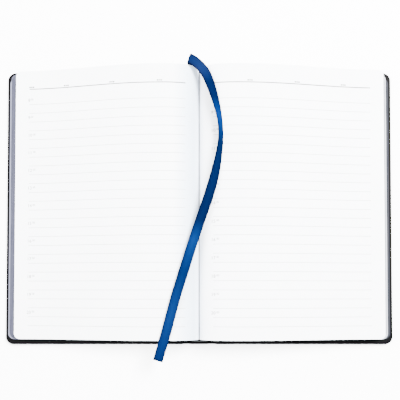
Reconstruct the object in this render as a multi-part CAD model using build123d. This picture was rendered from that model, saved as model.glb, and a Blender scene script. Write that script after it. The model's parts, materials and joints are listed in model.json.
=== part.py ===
from build123d import *
import math
import os

os.makedirs("parts", exist_ok=True)

# An open, case-bound pilot logbook lying on its covers. Millimetres, +X to the right, +Y to the head.

# Driving dimensions.
PAGE_HEIGHT = 210.0
PAGE_SHIFT = 1.4
PAGE_CORNER = 4.5
SPREAD_WIDTH = 304.0
COVER_HEIGHT = 215.2
COVER_CORNER = 6.0
LEATHER = 0.4
BOARD = 1.8
TURN_IN = 0.3
TURN_IN_WIDTH = 14.0
BOARD_TO_EDGE = 0.5
ENDPAPER = 0.15
ENDPAPER_MARGIN = 1.9
ENDPAPER_TAIL_MARGIN = 4.2
HINGE_X = 8.2
HINGE_TO_BOARD = 5.0
SPINE_BOARD = 1.0
SPINE_FIT = 6.8
RIGHT_GATHERINGS = 6
LEFT_GATHERINGS = 4
GAP = 0.08
LEAF = 0.15
FRONT_FLYLEAF_REACH = 149.2
BACK_FLYLEAF_REACH = 148.2
FLYLEAF_INSET = 2.0
BLOCK_ROOM = 40.0

# Levels of the case, from the outside of the cover up.
BOARD_TOP = LEATHER + BOARD
TURN_IN_TOP = BOARD_TOP + TURN_IN
PASTEDOWN_TOP = TURN_IN_TOP + ENDPAPER
FLYLEAF_TOP = PASTEDOWN_TOP + GAP + ENDPAPER

# The opening. A sheet climbs from its fold to a crest and slopes down to the fore-edge.
BLOCK_FLOOR = FLYLEAF_TOP + GAP
GATHERING = 1.2
CREST_HEIGHT = 22.0
CREST_X = 30.0
TOP_REACH = 143.5
LOW_CREST_HEIGHT = 6.2
LOW_CREST_X = 16.0
LOW_SLOPE_END = 96.0
RIGHT_LOW_REACH = 147.0
LEFT_LOW_REACH = 149.0
FOLD_SQUARENESS = 2.6
INNER_SHARES = (0.04, 0.14, 0.35, 0.65)
OUTER_STEPS = 7

# The rounded back of the sewn block, under the folds.
BACK_EDGE_HEIGHT = 4.6
BACK_CROWN_HEIGHT = 8.9
BACK_RISE = BACK_CROWN_HEIGHT - BACK_EDGE_HEIGHT
BACK_RADIUS = (SPINE_FIT**2 + BACK_RISE**2) / (2 * BACK_RISE)
BACK_CENTRE_HEIGHT = BACK_CROWN_HEIGHT - BACK_RADIUS
FOLD_CLEARANCE = 0.45
FIRST_FOLD_ANGLE = 1.2
LAST_FOLD_ANGLE = 60.0
MULL = 0.3
MULL_MARGIN = 10.0
LINER = 0.25
BAND_RADIUS = 0.5
THREAD_RADIUS = 0.15
THREAD_ABOVE_FOLD = 1.5
STITCHES = 5
STITCH_LENGTH = 16.0
STITCH_PITCH = 36.0

# The ribbon marker.
RIBBON_WIDTH = 7.0
RIBBON_THICKNESS = 0.5
RIBBON_ROUTE = [
    (-1, 111, 12),
    (-6, 112, 13),
    (-8.5, 112, 18),
    (-7, 111, 24),
    (-1, 106.5, 25.5),
    (5, 99, 26),
    (9, 88, 26),
    (12.5, 76, 26),
    (15.5, 63, 26),
    (16.5, 49, 26),
    (14.5, 34, 26),
    (11, 18, 25.5),
    (6, 2, 24.5),
    (0, -15, 24),
    (-6, -33, 24),
    (-11.5, -51, 24),
    (-17, -68, 24),
    (-21.5, -85, 24),
    (-26, -102, 23.5),
    (-31, -118, 21),
]
ROUTE_SHARE = 0.45


def save(shape, name):
    shape.label = name
    export_step(shape, f"parts/{name}.step")
    print(name, round(shape.volume, 2), shape.is_valid)


def mirrored(shape, side):
    """The shape itself for the right side, or its mirror image for the left."""
    return shape if side > 0 else mirror(shape, about=Plane.YZ)


def plate(x0, x1, half_height, z0, z1, corner=0.0):
    """A flat plate from x0 out to x1, with both outer corners rounded."""
    solid = Box(x1 - x0, 2 * half_height, z1 - z0, align=(Align.MIN, Align.CENTER, Align.MIN))
    solid = Pos(x0, 0, z0) * solid
    if corner > 0:
        outer = [e for e in solid.edges().filter_by(Axis.Z) if e.center().X > (x0 + x1) / 2]
        solid = fillet(outer, corner)
    return solid


# The case: boards, leather and pastedowns.
EDGE_X = SPREAD_WIDTH / 2
HALF_COVER = COVER_HEIGHT / 2
BOARD_X0 = HINGE_X + HINGE_TO_BOARD
BOARD_X1 = EDGE_X - BOARD_TO_EDGE
BOARD_HALF = HALF_COVER - BOARD_TO_EDGE
BOARD_CORNER = COVER_CORNER - BOARD_TO_EDGE


def cover_board(side):
    return mirrored(plate(BOARD_X0, BOARD_X1, BOARD_HALF, LEATHER, BOARD_TOP, BOARD_CORNER), side)


def cover_leather(side):
    """The leather of one cover: outside face, edges and the turn-in that frames the inside."""
    skin = plate(HINGE_X, EDGE_X, HALF_COVER, 0, LEATHER, COVER_CORNER)
    wrap = plate(BOARD_X0, EDGE_X, HALF_COVER, LEATHER, TURN_IN_TOP, COVER_CORNER)
    core = plate(BOARD_X0, BOARD_X1, BOARD_HALF, LEATHER, BOARD_TOP, BOARD_CORNER)
    window = plate(
        BOARD_X0,
        EDGE_X - TURN_IN_WIDTH,
        HALF_COVER - TURN_IN_WIDTH,
        BOARD_TOP,
        TURN_IN_TOP,
    )
    return mirrored(skin + (wrap - core - window), side)


def pastedown(side):
    """The endpaper glued inside a cover, with the step where it runs over the turn-in."""
    sheet = plate(
        BOARD_X0,
        EDGE_X - ENDPAPER_MARGIN,
        HALF_COVER - ENDPAPER_TAIL_MARGIN,
        TURN_IN_TOP,
        PASTEDOWN_TOP,
        PAGE_CORNER,
    )
    sunk = plate(
        BOARD_X0,
        EDGE_X - TURN_IN_WIDTH,
        HALF_COVER - TURN_IN_WIDTH,
        BOARD_TOP,
        TURN_IN_TOP,
    )
    return mirrored(sheet + sunk, side)


def flyleaf(side):
    reach = BACK_FLYLEAF_REACH if side > 0 else FRONT_FLYLEAF_REACH
    low = PASTEDOWN_TOP + GAP
    sheet = plate(BOARD_X0 + FLYLEAF_INSET, reach, PAGE_HEIGHT / 2, low, FLYLEAF_TOP, PAGE_CORNER)
    return Pos(0, PAGE_SHIFT, 0) * mirrored(sheet, side)


save(cover_board(-1), "front_board")
save(cover_board(1), "back_board")
save(cover_leather(-1), "front_cover_leather")
save(cover_leather(1), "back_cover_leather")
save(pastedown(-1), "front_pastedown")
save(pastedown(1), "back_pastedown")
save(flyleaf(-1), "front_flyleaf")
save(flyleaf(1), "back_flyleaf")

# The spine: leather, board, and the glued back of the block above it.
HALF_PAGE = PAGE_HEIGHT / 2
SPINE_TOP = LEATHER + SPINE_BOARD


def back_arc(lift):
    """The curve of the rounded back, raised by lift."""
    return ThreePointArc(
        (-SPINE_FIT, BACK_EDGE_HEIGHT + lift),
        (0, BACK_CROWN_HEIGHT + lift),
        (SPINE_FIT, BACK_EDGE_HEIGHT + lift),
    )


def back_layer(lift, thickness, length):
    """A layer glued along the rounded back, length long and centred between head and tail."""
    low = back_arc(lift)
    high = back_arc(lift + thickness)
    ends = [Line(low @ 0, high @ 0), Line(low @ 1, high @ 1)]
    face = make_face([low, high, *ends])
    return Pos(0, length / 2 + PAGE_SHIFT, 0) * extrude(Plane.XZ * face, length)


def hollow_solid(inset, length):
    """The space from the spine board up to the rounded back, less inset all round."""
    arc = back_arc(-MULL - inset)
    left = Vector(-SPINE_FIT + inset, SPINE_TOP + inset)
    right = Vector(SPINE_FIT - inset, SPINE_TOP + inset)
    inner_arc = ThreePointArc(
        (-SPINE_FIT + inset, (arc @ 0).Y),
        arc @ 0.5,
        (SPINE_FIT - inset, (arc @ 0).Y),
    )
    sides = [Line(left, inner_arc @ 0), Line(left, right), Line(right, inner_arc @ 1)]
    face = make_face([inner_arc, *sides])
    return Pos(0, length / 2 + PAGE_SHIFT, 0) * extrude(Plane.XZ * face, length)


def endband(side):
    """The rolled band over the head or the tail of the rounded back."""
    arc = back_arc(BAND_RADIUS)
    path = Plane.XZ * arc
    section = Plane(origin=path @ 0, z_dir=path % 0) * Circle(BAND_RADIUS)
    band = sweep(section, path)
    return Pos(0, PAGE_SHIFT + side * (HALF_PAGE + BAND_RADIUS + GAP), 0) * band


def stitches():
    """The sewing along the fold of the open gathering, joined under the fold by one cord."""
    z = BACK_CROWN_HEIGHT + FOLD_CLEARANCE + THREAD_ABOVE_FOLD
    solids = Pos(0, 0, z) * Rot(90, 0, 0) * Cylinder(THREAD_RADIUS / 2, STITCHES * STITCH_PITCH)
    for i in range(STITCHES):
        y = (i - (STITCHES - 1) / 2) * STITCH_PITCH
        solids += Pos(0, y, z) * Rot(90, 0, 0) * Cylinder(THREAD_RADIUS, STITCH_LENGTH)
    return solids


def spine_leather():
    """The leather of the spine, turned in over both ends of the spine board."""
    solid = Box(2 * HINGE_X, COVER_HEIGHT, LEATHER, align=(Align.CENTER, Align.CENTER, Align.MIN))
    for end in (-1, 1):
        block_end = HALF_PAGE + end * PAGE_SHIFT + GAP
        wrap_size = (2 * SPINE_FIT, HALF_COVER - BOARD_HALF, SPINE_BOARD + TURN_IN)
        lip_size = (2 * SPINE_FIT, HALF_COVER - block_end, TURN_IN)
        wrap_y = end * (HALF_COVER + BOARD_HALF) / 2
        lip_y = end * (HALF_COVER + block_end) / 2
        solid += Pos(0, wrap_y, LEATHER) * Box(*wrap_size, align=(Align.CENTER, Align.CENTER, Align.MIN))
        solid += Pos(0, lip_y, SPINE_TOP) * Box(*lip_size, align=(Align.CENTER, Align.CENTER, Align.MIN))
    return solid


spine_core = Box(2 * SPINE_FIT, 2 * BOARD_HALF, SPINE_BOARD, align=(Align.CENTER, Align.CENTER, Align.MIN))
save(spine_leather(), "spine_leather")
save(Pos(0, 0, LEATHER) * spine_core, "spine_board")
save(hollow_solid(0, PAGE_HEIGHT) - hollow_solid(LINER, PAGE_HEIGHT), "spine_liner")
save(back_layer(-MULL, MULL, PAGE_HEIGHT - 2 * MULL_MARGIN), "mull")
save(endband(1), "headband")
save(endband(-1), "tailband")
save(stitches(), "sewing_thread")


# The block: every gathering is a slab between two sheets of the fan.
def fold_point(share):
    """Where the sheet at this share of the fan is sewn, just clear of the rounded back."""
    angle = math.radians(FIRST_FOLD_ANGLE + (LAST_FOLD_ANGLE - FIRST_FOLD_ANGLE) * share)
    radius = BACK_RADIUS + FOLD_CLEARANCE
    return radius * math.sin(angle), BACK_CENTRE_HEIGHT + radius * math.cos(angle)


def between(a, b, share):
    return a + (b - a) * share


def sheet_points(gatherings, low_reach, share):
    """A sheet at this share of the way down one side's stack, from its fold to the fore-edge."""
    fold_x, fold_z = fold_point(share)
    crest_x = between(CREST_X, LOW_CREST_X, share)
    crest_z = between(CREST_HEIGHT, LOW_CREST_HEIGHT, share)
    reach = between(TOP_REACH, low_reach, share)
    slope_end = between(TOP_REACH, LOW_SLOPE_END, share)
    edge_z = between(BLOCK_FLOOR + (gatherings + 0.5) * GATHERING, BLOCK_FLOOR, share)
    points = [(fold_x, fold_z)]
    for u in INNER_SHARES:
        rise = (1 - (1 - u) ** FOLD_SQUARENESS) ** (1 / FOLD_SQUARENESS)
        points.append((between(fold_x, crest_x, u), between(fold_z, crest_z, rise)))
    for i in range(OUTER_STEPS + 1):
        x = between(crest_x, reach, i / OUTER_STEPS)
        along = min(1.0, (x - crest_x) / (slope_end - crest_x))
        fall = (1 - math.cos(math.pi * along)) / 2
        points.append((x, between(crest_z, edge_z, fall)))
    return points


def slab(stack, share0, share1, lift0=0.0, lift1=0.0, skip=0):
    """A stack of sheets between two shares of the fan, the height of a page, corners rounded."""
    upper = [(x, z + lift0) for x, z in sheet_points(*stack, share0)[skip:]]
    lower = [(x, z + lift1) for x, z in sheet_points(*stack, share1)[skip:]]
    top = Spline(*upper)
    bottom = Spline(*lower)
    ends = [Line(upper[0], lower[0]), Line(upper[-1], lower[-1])]
    face = make_face([top, bottom, *ends])
    solid = Pos(0, HALF_PAGE + PAGE_SHIFT, 0) * extrude(Plane.XZ * face, PAGE_HEIGHT)
    reach = max(upper[-1][0], lower[-1][0])
    outline = Pos(0, PAGE_SHIFT, 0) * plate(0, reach, HALF_PAGE, 0, BLOCK_ROOM, PAGE_CORNER)
    return solid & outline


def save_gatherings(side, name, count, low_reach):
    """The open gathering's half on top, then count whole gatherings down to the flyleaf."""
    share = 1 / (count + 0.5)
    gap_share = GAP * share
    start = 0.0
    for i in range(count + 1):
        end = start + share * (0.5 if i == 0 else 1.0)
        solid = slab((count, low_reach), start + gap_share / 2, end - gap_share / 2)
        label = f"{name}_open_gathering" if i == 0 else f"{name}_gathering_{i}"
        save(mirrored(solid, side), label)
        start = end


save_gatherings(1, "right", RIGHT_GATHERINGS, RIGHT_LOW_REACH)
save_gatherings(-1, "left", LEFT_GATHERINGS, LEFT_LOW_REACH)

# The loose leaf on top of the right-hand pages, which turns over.
leaf_low = 2 * GAP
right_stack = (RIGHT_GATHERINGS, RIGHT_LOW_REACH)
save(slab(right_stack, 0.0, 0.0, leaf_low + LEAF, leaf_low, skip=1), "turning_leaf")


# The ribbon marker, a plain flat band along its route.
def ribbon():
    points = [Vector(*p) for p in RIBBON_ROUTE]
    radii = []
    for before, here, after in zip(points, points[1:], points[2:]):
        turn = math.radians((here - before).get_angle(after - here))
        shorter = min((here - before).length, (after - here).length)
        radii.append(ROUTE_SHARE * shorter / math.tan(turn / 2))
    print("ribbon radii", [round(r) for r in radii])
    path = FilletPolyline(*points, radius=radii)
    print("ribbon length", round(path.length, 1))
    start = Plane(origin=path @ 0, x_dir=(0, 1, 0), z_dir=path % 0)
    return sweep(start * Rectangle(RIBBON_WIDTH / 2, RIBBON_THICKNESS), path)


save(ribbon(), "ribbon_marker")
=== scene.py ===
import json
import math
import random

import bpy
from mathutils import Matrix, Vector

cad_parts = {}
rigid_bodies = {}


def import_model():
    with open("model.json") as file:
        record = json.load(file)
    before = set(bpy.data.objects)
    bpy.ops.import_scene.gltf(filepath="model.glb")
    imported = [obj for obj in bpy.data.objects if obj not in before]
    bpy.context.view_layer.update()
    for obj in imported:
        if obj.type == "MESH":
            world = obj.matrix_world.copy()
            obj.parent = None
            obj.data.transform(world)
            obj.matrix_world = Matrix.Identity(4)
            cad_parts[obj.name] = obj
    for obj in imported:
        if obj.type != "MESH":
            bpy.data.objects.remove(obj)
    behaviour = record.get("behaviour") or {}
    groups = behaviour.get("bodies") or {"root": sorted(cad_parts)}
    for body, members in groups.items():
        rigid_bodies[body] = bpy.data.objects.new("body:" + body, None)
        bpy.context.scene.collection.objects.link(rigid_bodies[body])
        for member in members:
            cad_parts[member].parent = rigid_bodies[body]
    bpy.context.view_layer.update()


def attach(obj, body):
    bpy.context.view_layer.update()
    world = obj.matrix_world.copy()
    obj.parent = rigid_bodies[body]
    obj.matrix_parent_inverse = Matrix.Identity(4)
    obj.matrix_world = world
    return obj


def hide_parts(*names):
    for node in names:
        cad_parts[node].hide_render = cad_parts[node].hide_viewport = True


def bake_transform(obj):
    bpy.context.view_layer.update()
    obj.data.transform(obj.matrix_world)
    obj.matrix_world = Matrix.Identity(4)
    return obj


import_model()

MM = 0.001
random.seed(7)

# ---------------------------------------------------------------- sizes, in millimetres and degrees
# The pages reach the part's page edge at the head and end 0.8 mm short of it at the tail.
PAGE_HALF = 104.6
PAGE_SHIFT = 1.8
PAGE_CORNER = 4.5
LEAF = 0.09
LEAVES_PER_GATHERING = 12
TURNING_LEAF = 0.1
STATIONS = 40
INNER_STATIONS = 22
CORNER_STATIONS = 7
STATION_CROWDING = 1.5
TOP_COLUMNS = 9
RIM_COLUMNS = 4
TINTED_BAND = 0.7
TOP_TINTED_BAND = 0.12
UNEVEN_TRIM = 0.25

# The opening, with the part's own dimensions. The height of the fold's centre and its radius
# are rounded from the values that the part works out.
BLOCK_FLOOR = 2.96
GATHERING = 1.2
CREST_HEIGHT = 22.0
CREST_X = 30.0
TOP_REACH = 143.5
LOW_CREST_HEIGHT = 6.2
LOW_CREST_X = 16.0
LOW_SLOPE_END = 96.0
RIGHT_LOW_REACH = 147.0
LEFT_LOW_REACH = 149.0
FOLD_SQUARENESS = 2.6
INNER_SHARES = (0.04, 0.14, 0.35, 0.65)
OUTER_STEPS = 7
BACK_CENTRE_HEIGHT = 1.37
FOLD_RADIUS = 7.98
FIRST_FOLD_ANGLE = 1.2
LAST_FOLD_ANGLE = 60.0
RIGHT_GATHERINGS = 6
LEFT_GATHERINGS = 4

# The printed page: distances down from the head edge of the page, and across from the gutter.
HEADER_DOWN = 14.3
LABEL_UNDER_HEADER = 8.8
HEADER_Y = PAGE_HALF + PAGE_SHIFT - HEADER_DOWN
FIRST_LABEL_Y = HEADER_Y - LABEL_UNDER_HEADER
RULE_PITCH = 6.9
RULES = 26
LABEL_OVER_RULE = 3.3
RULE_INNER = 10.4
RULE_OUTER = 132.7
RULE_WIDTH = 0.32
HEADER_WIDTH = 0.7
PRINT_LIFT = 0.035
FIRST_HOUR = 8
HOURS = 13
LEFT_PAGE_LABEL_X = -133.7
RIGHT_PAGE_LABEL_X = 8.9
LABEL_DROP = 1.0
HOUR_SIZE = 3.4
DIGIT_ADVANCE = 2.0
MINUTE_SIZE = 2.1
MINUTE_RAISE = 1.0
LEFT_MARKS = (30.0, 66.5, 103.0, 131.0)
RIGHT_MARKS = (38.4, 74.7, 111.4)
MARK_WIDTHS = (1.3, 0.9, 1.2)
MARK_GAP = 0.3
MARK_HEIGHT = 0.95
MARK_OVER_HEADER = 1.5

RIBBON_WIDTH = 7.5
RIBBON_THICKNESS = 0.22
RIBBON_COLUMNS = 7
RIBBON_CROWN = 0.35
# The part's own route, with five points near the head lowered to follow the photograph.
RIBBON_ROUTE = [
    (-1, 111, 12),
    (-6, 112, 13),
    (-8.5, 112, 17),
    (-7, 111, 21),
    (-1, 106.5, 21.5),
    (5, 99, 23),
    (9, 88, 25),
    (12.5, 76, 26),
    (15.5, 63, 26),
    (16.5, 49, 26),
    (14.5, 34, 26),
    (11, 18, 25.5),
    (6, 2, 24.5),
    (0, -15, 24),
    (-6, -33, 24),
    (-11.5, -51, 24),
    (-17, -68, 24),
    (-21.5, -85, 24),
    (-26, -102, 23.5),
    (-31, -118, 21),
]
# Below this height, at the fold over the head, the ribbon keeps its last direction across.
FOLD_OVER_HEIGHT = 20.0
FIRST_ACROSS = (0.3, 1, 0)
LEAST_LEVEL = 0.3
# The ribbon stands up on its right edge, most steeply at one place down the page.
TWIST = 58.0
TWIST_Y = 52.0
TWIST_HALF_LENGTH = 60.0


# ---------------------------------------------------------------- camera
# Metres and degrees, with the sensor and the lens in millimetres.
CAMERA_PLACE = (0.0006, -0.0656, 0.38)
CAMERA_TILT = 1.3
SENSOR_WIDTH = 36
LENS = 43.1
LENS_SHIFT = 0.2
NEAR_CLIP = 0.01


def make_camera():
    data = bpy.data.cameras.new("camera")
    camera = bpy.data.objects.new("camera", data)
    bpy.context.collection.objects.link(camera)
    camera.location = CAMERA_PLACE
    camera.rotation_euler = (math.radians(CAMERA_TILT), 0, 0)
    data.sensor_width = SENSOR_WIDTH
    data.lens = LENS
    data.shift_y = LENS_SHIFT
    data.clip_start = NEAR_CLIP
    bpy.context.scene.camera = camera


make_camera()


# ---------------------------------------------------------------- materials
def new_material(name, color, roughness, **inputs):
    material = bpy.data.materials.new(name)
    material.use_nodes = True
    shader = material.node_tree.nodes["Principled BSDF"]
    shader.inputs["Base Color"].default_value = (*color, 1)
    shader.inputs["Roughness"].default_value = roughness
    for key, value in inputs.items():
        shader.inputs[key.replace("_", " ")].default_value = value
    return material, material.node_tree, shader


def add_node(tree, kind, **values):
    node = tree.nodes.new(kind)
    for key, value in values.items():
        if key in node.inputs:
            node.inputs[key].default_value = value
        else:
            setattr(node, key, value)
    return node


def coordinates(tree, scale=(1, 1, 1)):
    """Object coordinates, stretched by scale."""
    where = add_node(tree, "ShaderNodeTexCoord")
    mapping = add_node(tree, "ShaderNodeMapping")
    mapping.inputs["Scale"].default_value = scale
    tree.links.new(where.outputs["Object"], mapping.inputs["Vector"])
    return mapping.outputs["Vector"]


def noise_node(tree, vector, scale, detail=3.0):
    node = add_node(tree, "ShaderNodeTexNoise", Scale=scale, Detail=detail)
    tree.links.new(vector, node.inputs["Vector"])
    return node.outputs["Fac"]


def ramp(tree, value, stops):
    node = add_node(tree, "ShaderNodeValToRGB")
    elements = node.color_ramp.elements
    while len(elements) < len(stops):
        elements.new(0.5)
    for element, (position, color) in zip(elements, stops):
        element.position = position
        element.color = (*color, 1)
    tree.links.new(value, node.inputs["Fac"])
    return node.outputs["Color"]


def bump(tree, shader, height, strength, distance):
    node = add_node(tree, "ShaderNodeBump", Strength=strength, Distance=distance)
    tree.links.new(height, node.inputs["Height"])
    tree.links.new(node.outputs["Normal"], shader.inputs["Normal"])


FIBRE_SCALE = 2700.0


def paper(name, low, high):
    """Uncoated paper: fine fibres, and a faint mottle in the white."""
    material, tree, shader = new_material(name, high, 0.82, Specular_IOR_Level=0.25)
    vector = coordinates(tree)
    mottle = noise_node(tree, vector, 45.0, 4.0)
    tree.links.new(ramp(tree, mottle, [(0.3, low), (0.7, high)]), shader.inputs["Base Color"])
    bump(tree, shader, noise_node(tree, vector, FIBRE_SCALE, 2.0), strength=0.08, distance=0.00004)
    return material


def page_paper():
    """The white paper of the pages, with painted shade that deepens towards the fold."""
    material = paper("page_paper", PAGE_LOW, PAGE_HIGH)
    tree = material.node_tree
    shader = tree.nodes["Principled BSDF"]
    white = shader.inputs["Base Color"].links[0].from_socket
    split = add_node(tree, "ShaderNodeSeparateXYZ")
    tree.links.new(coordinates(tree, (1 / GUTTER_SPAN, 1, 1)), split.inputs[0])
    centred = add_node(tree, "ShaderNodeMath", operation="ADD")
    centred.inputs[1].default_value = 0.5
    tree.links.new(split.outputs[0], centred.inputs[0])
    # Painted shade: the white is multiplied darker and bluer towards the fold.
    painted_shade_mix = add_node(tree, "ShaderNodeVectorMath", operation="MULTIPLY")
    tree.links.new(white, painted_shade_mix.inputs[0])
    tree.links.new(ramp(tree, centred.outputs[0], GUTTER_PAINTED_SHADE), painted_shade_mix.inputs[1])
    tree.links.new(painted_shade_mix.outputs[0], shader.inputs["Base Color"])
    return material


def edge_paint():
    """The silver-blue finish on the edges of the leaves, streaked leaf by leaf."""
    color = (0.036, 0.037, 0.058)
    material, tree, shader = new_material("edge_silver_blue", color, 0.6, Specular_IOR_Level=0.1)
    streaks = noise_node(tree, coordinates(tree, (5200, 60, 5200)), 1.0, 2.0)
    stops = [(0.28, (0.018, 0.019, 0.033)), (0.5, color), (0.72, (0.065, 0.067, 0.095))]
    tree.links.new(ramp(tree, streaks, stops), shader.inputs["Base Color"])
    bump(tree, shader, streaks, strength=0.25, distance=0.00005)
    return material


def leatherette():
    """Black covering with a fine pebbled grain."""
    material, tree, shader = new_material("leatherette", (0.001, 0.001, 0.0012), 0.5)
    shader.inputs["Specular IOR Level"].default_value = 0.02
    vector = coordinates(tree)
    cells = add_node(tree, "ShaderNodeTexVoronoi", Scale=1500.0)
    cells.feature = "SMOOTH_F1"
    tree.links.new(vector, cells.inputs["Vector"])
    bump(tree, shader, cells.outputs["Distance"], strength=0.1, distance=0.0001)
    cloud = noise_node(tree, vector, 60.0, 4.0)
    tones = [(0.3, (0.0006, 0.0006, 0.0008)), (0.75, (0.0015, 0.0015, 0.0018))]
    tree.links.new(ramp(tree, cloud, tones), shader.inputs["Base Color"])
    return material


def board_grey():
    """Grey board with fine fibres."""
    material, tree, shader = new_material("greyboard", (0.06, 0.056, 0.05), 0.9)
    fibres = noise_node(tree, coordinates(tree), 1400.0, 4.0)
    tones = [(0.3, (0.045, 0.042, 0.038)), (0.7, (0.08, 0.075, 0.068))]
    tree.links.new(ramp(tree, fibres, tones), shader.inputs["Base Color"])
    bump(tree, shader, fibres, strength=0.3, distance=0.0001)
    return material


def woven(name, dark, light, pitch, sheen=0.2):
    """A plain weave from two crossing wave patterns."""
    material, tree, shader = new_material(name, light, 0.85, Sheen_Weight=sheen)
    vector = coordinates(tree)
    waves = []
    for direction in ("X", "Y"):
        wave = add_node(tree, "ShaderNodeTexWave", Scale=math.pi / (10 * pitch))
        wave.bands_direction = direction
        tree.links.new(vector, wave.inputs["Vector"])
        waves.append(wave.outputs["Fac"])
    mix = add_node(tree, "ShaderNodeMath", operation="MULTIPLY")
    for i, wave in enumerate(waves):
        tree.links.new(wave, mix.inputs[i])
    tree.links.new(
        ramp(tree, mix.outputs[0], [(0.1, dark), (0.8, light)]),
        shader.inputs["Base Color"],
    )
    bump(tree, shader, mix.outputs[0], strength=0.4, distance=0.0001)
    return material


PAGE_LOW = (0.865, 0.878, 0.895)
PAGE_HIGH = (0.90, 0.912, 0.93)
# Painted shade on the paper across the fold, from 20 mm left of it to 20 mm right: darker and bluer
# towards the fold, where the shade falls.
# The stops were set from tones read off the photograph.
GUTTER_SPAN = 0.04
GUTTER_PAINTED_SHADE = [
    (0.0, (1.0, 1.0, 1.0)),
    (0.22, (0.72, 0.78, 0.85)),
    (0.4, (0.55, 0.63, 0.72)),
    (0.46, (0.68, 0.74, 0.81)),
    (0.5, (0.85, 0.88, 0.92)),
    (0.6, (0.97, 0.97, 1.0)),
    (1.0, (1.0, 1.0, 1.0)),
]

# Painted highlights and painted shade on the satin at each fraction of its length, where its folds
# catch the light or turn from it. The places and strengths were set from readings of the photograph,
# and they stay the same in every light and pose.
SATIN_PAINTED_LIGHT = [
    (0.0, (1.0, 0.5, 0.5)),
    (0.1, (7.0, 1.4, 0.9)),
    (0.15, (1.0, 0.5, 0.5)),
    (0.2, (1.0, 0.5, 0.5)),
    (0.255, (2.0, 1.8, 1.6)),
    (0.34, (1.0, 0.6, 0.55)),
    (0.57, (1.0, 0.52, 0.5)),
    (0.63, (2.5, 1.8, 1.4)),
    (0.73, (1.2, 0.95, 0.8)),
    (0.86, (3.0, 1.6, 1.2)),
    (1.0, (2.0, 0.95, 0.85)),
]


# The satin's blue from the middle of the ribbon out to its selvedge: the darker selvedge is the
# ribbon's own colour, and the brighter middle is a painted sheen.
SATIN_BLUE_AND_PAINTED_SHEEN = [
    (0.0, (0.0004, 0.0055, 0.034)),
    (0.38, (0.0004, 0.0042, 0.027)),
    (0.5, (0.0003, 0.0018, 0.012)),
]
THREAD_STRETCH = (70, 900, 1)


def satin():
    """Satin ribbon: fine lengthwise floats, a painted sheen brighter at the middle, painted highlights
    and shade along its length, and darker selvedges. UV x runs across.
    """
    material, tree, shader = new_material("ribbon_satin", (0.0, 0.007, 0.04), 0.42)
    shader.inputs["Anisotropic"].default_value = 0.7
    shader.inputs["Specular IOR Level"].default_value = 0.0
    uv = add_node(tree, "ShaderNodeTexCoord").outputs["UV"]
    split = add_node(tree, "ShaderNodeSeparateXYZ")
    tree.links.new(uv, split.inputs[0])
    centred = add_node(tree, "ShaderNodeMath", operation="SUBTRACT")
    centred.inputs[1].default_value = 0.5
    tree.links.new(split.outputs[0], centred.inputs[0])
    away = add_node(tree, "ShaderNodeMath", operation="ABSOLUTE")
    tree.links.new(centred.outputs[0], away.inputs[0])
    # The satin's blue, darker at the selvedge, with a painted sheen brighter at the middle.
    base = ramp(tree, away.outputs[0], SATIN_BLUE_AND_PAINTED_SHEEN)
    # Painted highlights and painted shade along the ribbon's length.
    shading = ramp(tree, split.outputs[1], SATIN_PAINTED_LIGHT)
    painted_light_mix = add_node(tree, "ShaderNodeVectorMath", operation="MULTIPLY")
    tree.links.new(base, painted_light_mix.inputs[0])
    tree.links.new(shading, painted_light_mix.inputs[1])
    tree.links.new(painted_light_mix.outputs[0], shader.inputs["Base Color"])
    stretch = add_node(tree, "ShaderNodeMapping")
    stretch.inputs["Scale"].default_value = THREAD_STRETCH
    tree.links.new(uv, stretch.inputs["Vector"])
    threads = noise_node(tree, stretch.outputs["Vector"], 1.0, 2.0)
    bump(tree, shader, threads, strength=0.18, distance=0.00006)
    return material


def ink(name, shade):
    """Printing ink with a faint speckle."""
    material, tree, shader = new_material(name, (shade, shade, shade * 1.03), 0.8)
    speckle = noise_node(tree, coordinates(tree), 4000.0, 2.0)
    low, high = (shade * 0.9,) * 3, (shade * 1.08,) * 3
    tree.links.new(ramp(tree, speckle, [(0.3, low), (0.7, high)]), shader.inputs["Base Color"])
    return material


PAGE = page_paper()
ENDPAPER = paper("endpaper", (0.085, 0.087, 0.125), (0.12, 0.122, 0.165))
# The back pastedown: the endpaper painted much darker, as painted shade under the page block.
PAINTED_SHADE_ENDPAPER = paper("endpaper_painted_shade", (0.006, 0.007, 0.011), (0.01, 0.011, 0.016))
# The back flyleaf: the endpaper painted lighter, as painted light.
PAINTED_LIGHT_ENDPAPER = paper("endpaper_painted_light", (0.30, 0.31, 0.35), (0.36, 0.37, 0.41))
KRAFT = paper("kraft", (0.11, 0.075, 0.045), (0.15, 0.105, 0.065))
EDGE = edge_paint()
LEATHERETTE = leatherette()
GREYBOARD = board_grey()
MULL = woven("mull_cloth", (0.45, 0.43, 0.37), (0.78, 0.76, 0.69), 0.0006)
ENDBAND = woven("endband_cloth", (0.001, 0.001, 0.0015), (0.004, 0.004, 0.006), 0.0012, sheen=0.0)
THREAD = woven("thread", (0.6, 0.6, 0.58), (0.9, 0.9, 0.88), 0.0004)
SATIN = satin()
RULE_INK = ink("rule_ink", 0.34)
HEADER_INK = ink("header_ink", 0.012)
LABEL_INK = ink("label_ink", 0.02)


def mesh_object(name, points, faces, materials, kinds=None, smooth=True):
    mesh = bpy.data.meshes.new(name)
    mesh.from_pydata(points, [], faces)
    for material in materials:
        mesh.materials.append(material)
    if kinds:
        mesh.polygons.foreach_set("material_index", kinds)
    mesh.polygons.foreach_set("use_smooth", [smooth] * len(faces))
    mesh.update()
    obj = bpy.data.objects.new(name, mesh)
    bpy.context.collection.objects.link(obj)
    return obj


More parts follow.
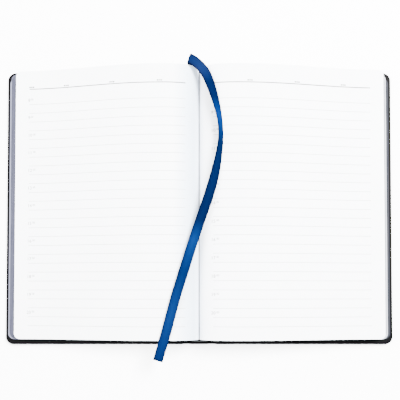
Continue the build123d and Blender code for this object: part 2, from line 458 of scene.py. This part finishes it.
# ---------------------------------------------------------------- ribbon
def nurbs_line(route):
    """Points along the smooth spline that has the route as its control points."""
    curve = bpy.data.curves.new("route", "CURVE")
    curve.dimensions = "3D"
    curve.resolution_u = 12
    spline = curve.splines.new("NURBS")
    spline.points.add(len(route) - 1)
    for point, (x, y, z) in zip(spline.points, route):
        point.co = (x * MM, y * MM, z * MM, 1)
    spline.order_u = 3
    spline.use_endpoint_u = True
    holder = bpy.data.objects.new("route", curve)
    bpy.context.collection.objects.link(holder)
    mesh = bpy.data.meshes.new_from_object(holder)
    line = [v.co.copy() for v in mesh.vertices]
    bpy.data.objects.remove(holder)
    bpy.data.curves.remove(curve)
    bpy.data.meshes.remove(mesh)
    return line


def tilt_at(y):
    """How steeply the ribbon stands up, in degrees, at this distance up the page."""
    away = min(1.0, abs(y - TWIST_Y) / TWIST_HALF_LENGTH)
    return TWIST * (1 + math.cos(math.pi * away)) / 2


def make_ribbon():
    """A crowned band along the route, turned up on its edge by tilt_at."""
    line = nurbs_line(RIBBON_ROUTE)
    columns = RIBBON_COLUMNS
    rows = []
    points = []
    uvs = []
    total = sum((b - a).length for a, b in zip(line, line[1:]))
    along = 0.0
    held = Vector(FIRST_ACROSS)
    for i, here in enumerate(line):
        if i:
            along += (here - line[i - 1]).length
        tangent = (line[min(i + 1, len(line) - 1)] - line[max(i - 1, 0)]).normalized()
        level = Vector((0, 0, 1)).cross(tangent)
        if here.z > FOLD_OVER_HEIGHT * MM and level.length > LEAST_LEVEL:
            held = level
        flat = (held - tangent * held.dot(tangent)).normalized()
        up = tangent.cross(flat).normalized()
        tilt = math.radians(tilt_at(here.y / MM))
        across = flat * math.cos(tilt) - up * math.sin(tilt)
        normal = tangent.cross(across).normalized()
        row = []
        for layer in (1, -1):
            for k in range(columns):
                u = k / (columns - 1) - 0.5
                crown = RIBBON_CROWN * (1 - 4 * u * u) * math.cos(tilt)
                offset = crown + layer * RIBBON_THICKNESS / 2
                place = here + across * (u * RIBBON_WIDTH * MM) + normal * (offset * MM)
                row.append(len(points))
                points.append(place)
                uvs.append((u + 0.5, along / total))
        rows.append(row)
    faces = []
    for a, b in zip(rows, rows[1:]):
        for k in range(columns - 1):
            faces.append((a[k], a[k + 1], b[k + 1], b[k]))
            low = columns + k
            faces.append((a[low], b[low], b[low + 1], a[low + 1]))
        faces.append((a[0], b[0], b[columns], a[columns]))
        last = columns - 1
        faces.append((a[last], a[last + columns], b[last + columns], b[last]))
    for row, flip in ((rows[0], 1), (rows[-1], -1)):
        for k in range(columns - 1):
            quad = (row[k], row[k + columns], row[k + columns + 1], row[k + 1])
            faces.append(quad[::flip])
    obj = mesh_object("ribbon", points, faces, [SATIN])
    layer = obj.data.uv_layers.new(name="UVMap")
    for loop in obj.data.loops:
        layer.data[loop.index].uv = uvs[loop.vertex_index]
    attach(obj, "ribbon")
    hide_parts("ribbon_marker")
    tuple(c * MM for c in RIBBON_ROUTE[0])
    [tuple(p) for p in line]


make_ribbon()


# ---------------------------------------------------------------- CAD nodes with better materials
def frame_object(node):
    """The object that the frame loaded for a CAD node."""
    for obj in bpy.data.objects:
        if obj.name == node:
            return obj
    raise KeyError(node)


def dress(node, material):
    """Gives a CAD node a better material."""
    obj = frame_object(node)
    obj.data.materials.clear()
    obj.data.materials.append(material)


for side in ("front", "back"):
    dress(f"{side}_board", GREYBOARD)
    dress(f"{side}_cover_leather", LEATHERETTE)
dress("front_pastedown", ENDPAPER)
dress("front_flyleaf", ENDPAPER)
# Painted light: the back flyleaf is the endpaper painted lighter.
dress("back_flyleaf", PAINTED_LIGHT_ENDPAPER)
# Painted shade: the back pastedown is the endpaper painted darker.
dress("back_pastedown", PAINTED_SHADE_ENDPAPER)
dress("spine_leather", LEATHERETTE)
dress("spine_board", GREYBOARD)
dress("spine_liner", KRAFT)
dress("mull", MULL)
dress("headband", ENDBAND)
dress("tailband", ENDBAND)
dress("sewing_thread", THREAD)


# ---------------------------------------------------------------- sheets of the block
def fold_point(share):
    """Where the sheet at this share of the way down the stack leaves the fold."""
    angle = math.radians(FIRST_FOLD_ANGLE + (LAST_FOLD_ANGLE - FIRST_FOLD_ANGLE) * share)
    return FOLD_RADIUS * math.sin(angle), BACK_CENTRE_HEIGHT + FOLD_RADIUS * math.cos(angle)


def between(a, b, share):
    """The value at this share of the way from a to b."""
    return a + (b - a) * share


def sheet_points(gatherings, low_reach, share):
    """A sheet at this share of the way down one side's stack, from its fold to the fore-edge."""
    fold_x, fold_z = fold_point(share)
    crest_x = between(CREST_X, LOW_CREST_X, share)
    crest_z = between(CREST_HEIGHT, LOW_CREST_HEIGHT, share)
    reach = between(TOP_REACH, low_reach, share)
    slope_end = between(TOP_REACH, LOW_SLOPE_END, share)
    edge_z = between(BLOCK_FLOOR + (gatherings + 0.5) * GATHERING, BLOCK_FLOOR, share)
    points = [(fold_x, fold_z)]
    for u in INNER_SHARES:
        rise = (1 - (1 - u) ** FOLD_SQUARENESS) ** (1 / FOLD_SQUARENESS)
        points.append((between(fold_x, crest_x, u), between(fold_z, crest_z, rise)))
    for i in range(OUTER_STEPS + 1):
        x = between(crest_x, reach, i / OUTER_STEPS)
        along = min(1.0, (x - crest_x) / (slope_end - crest_x))
        fall = (1 - math.cos(math.pi * along)) / 2
        points.append((x, between(crest_z, edge_z, fall)))
    return points


def hermite(p0, p1, m0, m1, t):
    """A point on the cubic from p0 to p1 that leaves with slope m0 and arrives with m1."""
    a = 2 * t**3 - 3 * t**2 + 1
    b = t**3 - 2 * t**2 + t
    c = -2 * t**3 + 3 * t**2
    d = t**3 - t**2
    return tuple(a * p0[k] + b * m0[k] + c * p1[k] + d * m1[k] for k in (0, 1))


def smooth_line(points):
    """A function of distance along a smooth line through the points, and its length."""
    steps = [math.dist(p, q) for p, q in zip(points, points[1:])]
    slopes = []
    for i in range(len(points)):
        before, after = max(i - 1, 0), min(i + 1, len(points) - 1)
        span = sum(steps[before:after])
        slopes.append([(points[after][k] - points[before][k]) / span for k in (0, 1)])

    def at(distance):
        i = 0
        while i < len(steps) - 1 and distance > steps[i]:
            distance -= steps[i]
            i += 1
        m0 = [s * steps[i] for s in slopes[i]]
        m1 = [s * steps[i] for s in slopes[i + 1]]
        return hermite(points[i], points[i + 1], m0, m1, min(1, distance / steps[i]))

    return at, sum(steps)


def stations(points, count):
    """Points along the sheet, closer together where it turns and at the rounded corner."""
    at, length = smooth_line(points)
    corner_start = length - PAGE_CORNER
    line = []
    for i in range(count):
        t = (i / count) ** STATION_CROWDING
        line.append(at(corner_start * t))
    for i in range(CORNER_STATIONS + 1):
        angle = math.pi / 2 * i / CORNER_STATIONS
        line.append(at(corner_start + PAGE_CORNER * math.sin(angle)))
    return line


class Sheets:
    """Collects leaves into one mesh, with paper faces and finished edge faces."""

    def __init__(self):
        self.points = []
        self.faces = []
        self.kinds = []

    def vertex(self, x, y, z):
        self.points.append((x * MM, y * MM, z * MM))
        return len(self.points) - 1

    def face(self, corners, kind):
        self.faces.append(corners)
        self.kinds.append(kind)

    def leaf(self, side, line, thickness=LEAF, columns=RIM_COLUMNS, trim=0.0, band=TINTED_BAND):
        """One leaf whose upper face follows line, mirrored to the left when side is -1."""
        reach = line[-1][0]
        grids = []
        for lower in (False, True):
            rows = []
            for i, (x, z) in enumerate(line):
                before = line[max(i - 1, 0)]
                after = line[min(i + 1, len(line) - 1)]
                dx, dz = after[0] - before[0], after[1] - before[1]
                size = math.hypot(dx, dz)
                drop = thickness if lower else 0.0
                px, pz = x + drop * dz / size, z - drop * dx / size
                inset = max(0.0, x - (reach - PAGE_CORNER))
                half = PAGE_HALF - trim - PAGE_CORNER
                half += math.sqrt(max(0.0, PAGE_CORNER**2 - inset**2))
                row = []
                for k in range(columns):
                    y = half * (2 * k / (columns - 1) - 1)
                    if columns == RIM_COLUMNS and k in (1, 2):
                        y = (half - band) * (2 * k - 3)
                    row.append(self.vertex(side * px, y + PAGE_SHIFT, pz))
                rows.append(row)
            grids.append(rows)
        top, bottom = grids
        for i in range(len(line) - 1):
            kind = 1 if line[i][0] > reach - band else 0
            near_corner = columns == RIM_COLUMNS and line[i][0] > reach - 2 * PAGE_CORNER
            for k in range(columns - 1):
                rim = 1 if near_corner and k != 1 else kind
                a, b, c, d = top[i][k], top[i + 1][k], top[i + 1][k + 1], top[i][k + 1]
                self.face((a, b, c, d) if side > 0 else (d, c, b, a), rim)
                a, b, c, d = bottom[i][k], bottom[i][k + 1], bottom[i + 1][k + 1], bottom[i + 1][k]
                self.face((a, b, c, d) if side > 0 else (d, c, b, a), kind)
        last = len(line) - 1
        rim = [(i, 0) for i in range(last + 1)]
        rim += [(last, k) for k in range(1, columns)]
        rim += [(i, columns - 1) for i in range(last - 1, -1, -1)]
        outer = [self.copy(top[i][k]) for i, k in rim]
        under = [self.copy(bottom[i][k]) for i, k in rim]
        for n in range(len(rim) - 1):
            quad = (outer[n], under[n], under[n + 1], outer[n + 1])
            self.face(quad if side > 0 else quad[::-1], 1)

    def copy(self, index):
        self.points.append(self.points[index])
        return len(self.points) - 1

    def finish(self, name, materials):
        return mesh_object(name, self.points, self.faces, materials, self.kinds)


def bend_pages(obj):
    """Bakes the pages' placement into their mesh."""
    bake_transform(obj)


def make_gatherings(side, name, count, low_reach):
    """Real leaves in every gathering, from the open one on top to the lowest."""
    share = 1 / (count + 0.5)
    start = 0.0
    for i in range(count + 1):
        part = 0.5 if i == 0 else 1.0
        leaves = round(LEAVES_PER_GATHERING * part)
        sheets = Sheets()
        for n in range(leaves):
            at = start + share * part * (n + 0.5) / leaves
            is_top = i == 0 and n == 0
            if is_top:
                at = start
            points = sheet_points(count, low_reach, at)
            if is_top:
                sheets.leaf(side, stations(points, STATIONS), columns=TOP_COLUMNS, band=TOP_TINTED_BAND)
            else:
                trim = random.uniform(0.0, UNEVEN_TRIM)
                sheets.leaf(side, stations(points, INNER_STATIONS), trim=trim)
        label = f"{name}_open_gathering" if i == 0 else f"{name}_gathering_{i}"
        obj = sheets.finish(f"{label}_leaves", [PAGE, EDGE])
        bend_pages(obj)
        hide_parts(label)
        start += share * part


make_gatherings(1, "right", RIGHT_GATHERINGS, RIGHT_LOW_REACH)
make_gatherings(-1, "left", LEFT_GATHERINGS, LEFT_LOW_REACH)

RIGHT_TOP = sheet_points(RIGHT_GATHERINGS, RIGHT_LOW_REACH, 0.0)
LEFT_TOP = sheet_points(LEFT_GATHERINGS, LEFT_LOW_REACH, 0.0)

# The leaf that turns lies a little over the right-hand top sheet.
LEAF_LIFT = 0.2


def bend_leaf(obj):
    """Bakes the loose leaf's placement into its mesh."""
    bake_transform(obj)


def make_turning_leaf():
    """The loose leaf, and the points that the print on it follows."""
    points = [(x, z + LEAF_LIFT) for x, z in RIGHT_TOP]
    sheets = Sheets()
    line = stations(points, STATIONS)
    sheets.leaf(1, line, thickness=TURNING_LEAF, columns=TOP_COLUMNS, band=TOP_TINTED_BAND)
    obj = sheets.finish("turning_leaf_sheet", [PAGE, EDGE])
    bend_leaf(obj)
    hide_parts("turning_leaf")
    return points


leaf_points = make_turning_leaf()


# ---------------------------------------------------------------- printing
class Print:
    """Thin inked shapes that lie on a page's surface."""

    def __init__(self, side, points, lift):
        self.side = side
        self.line = stations(points, STATIONS)
        self.lift = lift
        self.points = []
        self.faces = []

    def height(self, x):
        for (x0, z0), (x1, z1) in zip(self.line, self.line[1:]):
            if x0 <= x <= x1:
                return z0 + (z1 - z0) * (x - x0) / (x1 - x0) + self.lift
        return self.line[-1][1] + self.lift

    def strip(self, x0, x1, y, width):
        """A line across the page from x0 out to x1, measured from the gutter."""
        inner = [x for x, _ in self.line if x0 < x < x1]
        rows = []
        for x in [x0, *inner, x1]:
            row = []
            for dy in (-width / 2, width / 2):
                row.append(len(self.points))
                self.points.append((self.side * x * MM, (y + dy) * MM, self.height(x) * MM))
            rows.append(row)
        for (a, b), (c, d) in zip(rows, rows[1:]):
            self.faces.append((a, c, d, b) if self.side > 0 else (b, d, c, a))

    def text(self, body, x, y, size):
        """Numerals whose lower left corner is at x, y on the page as it is read."""
        curve = bpy.data.curves.new("numeral", "FONT")
        curve.body = body
        curve.size = size
        probe = bpy.data.objects.new("numeral", curve)
        bpy.context.collection.objects.link(probe)
        bpy.context.view_layer.update()
        mesh = bpy.data.meshes.new_from_object(probe)
        first = len(self.points)
        for v in mesh.vertices:
            px = x + v.co.x
            self.points.append((px * MM, (y + v.co.y) * MM, self.height(abs(px)) * MM))
        for face in mesh.polygons:
            self.faces.append(tuple(first + n for n in face.vertices))
        bpy.data.objects.remove(probe)
        bpy.data.curves.remove(curve)
        bpy.data.meshes.remove(mesh)

    def finish(self, name, material):
        return mesh_object(name, self.points, self.faces, [material], smooth=False)


def make_page_print(side, name, points, place):
    """Rules, header line, header marks and the hours of one page."""
    rules = Print(side, points, PRINT_LIFT)
    first_rule = FIRST_LABEL_Y - LABEL_OVER_RULE
    for i in range(RULES):
        rules.strip(RULE_INNER, RULE_OUTER, first_rule - i * RULE_PITCH, RULE_WIDTH)
    header = Print(side, points, PRINT_LIFT)
    header.strip(RULE_INNER, RULE_OUTER, HEADER_Y, HEADER_WIDTH)
    for middle in LEFT_MARKS if side < 0 else RIGHT_MARKS:
        x = middle - (sum(MARK_WIDTHS) + 2 * MARK_GAP) / 2
        for width in MARK_WIDTHS:
            header.strip(x, x + width, HEADER_Y + MARK_OVER_HEADER, MARK_HEIGHT)
            x += width + MARK_GAP
    hours = Print(side, points, PRINT_LIFT)
    left = LEFT_PAGE_LABEL_X if side < 0 else RIGHT_PAGE_LABEL_X
    for i in range(HOURS):
        y = FIRST_LABEL_Y - 2 * RULE_PITCH * i - LABEL_DROP
        hour = str(FIRST_HOUR + i)
        hours.text(hour, left, y, HOUR_SIZE)
        hours.text("00", left + DIGIT_ADVANCE * len(hour), y + MINUTE_RAISE, MINUTE_SIZE)
    pieces = [
        rules.finish(f"{name}_rules", RULE_INK),
        header.finish(f"{name}_header", HEADER_INK),
        hours.finish(f"{name}_hours", LABEL_INK),
    ]
    for piece in pieces:
        place(piece)


make_page_print(-1, "left_page", LEFT_TOP, lambda p: bend_pages(p))
make_page_print(1, "turning_page", leaf_points, bend_leaf)
make_page_print(1, "right_page", RIGHT_TOP, lambda p: bend_pages(p))


# ---------------------------------------------------------------- floor and light, in metres
FLOOR_HALF = 3.0
FLOOR_DROP = 0.0002
FLOOR_WHITE = (0.95, 0.95, 0.95)
FLOOR_GLOW = 2.5
KEY_PLACE = (0.55, 0.45, 1.0)
KEY_SIZE = 0.6
KEY_POWER = 125.0
FILL_PLACE = (-0.7, 0.1, 0.9)
FILL_SIZE = 1.0
FILL_POWER = 40.0
SKY_COLOR = (0.95, 0.97, 1.0)
SKY_STRENGTH = 3.3


def make_floor():
    corners = [
        (-FLOOR_HALF, -FLOOR_HALF, 0),
        (FLOOR_HALF, -FLOOR_HALF, 0),
        (FLOOR_HALF, FLOOR_HALF, 0),
        (-FLOOR_HALF, FLOOR_HALF, 0),
    ]
    material, _, shader = new_material("floor", FLOOR_WHITE, 0.9)
    shader.inputs["Emission Color"].default_value = (1, 1, 1, 1)
    shader.inputs["Emission Strength"].default_value = FLOOR_GLOW
    floor = mesh_object("floor", corners, [(0, 1, 2, 3)], [material], smooth=False)
    floor.location.z = -FLOOR_DROP


def make_light(name, location, size, power):
    """A round lamp that points at the object."""
    data = bpy.data.lights.new(name, "AREA")
    data.shape = "DISK"
    data.size = size
    data.energy = power
    light = bpy.data.objects.new(name, data)
    bpy.context.collection.objects.link(light)
    light.location = location
    light.rotation_euler = (-Vector(location)).to_track_quat("-Z", "Y").to_euler()


def make_world():
    world = bpy.data.worlds.new("studio")
    world.use_nodes = True
    background = world.node_tree.nodes["Background"]
    background.inputs["Color"].default_value = (*SKY_COLOR, 1)
    background.inputs["Strength"].default_value = SKY_STRENGTH
    bpy.context.scene.world = world


make_floor()
make_light("key", KEY_PLACE, KEY_SIZE, KEY_POWER)
make_light("fill", FILL_PLACE, FILL_SIZE, FILL_POWER)
make_world()
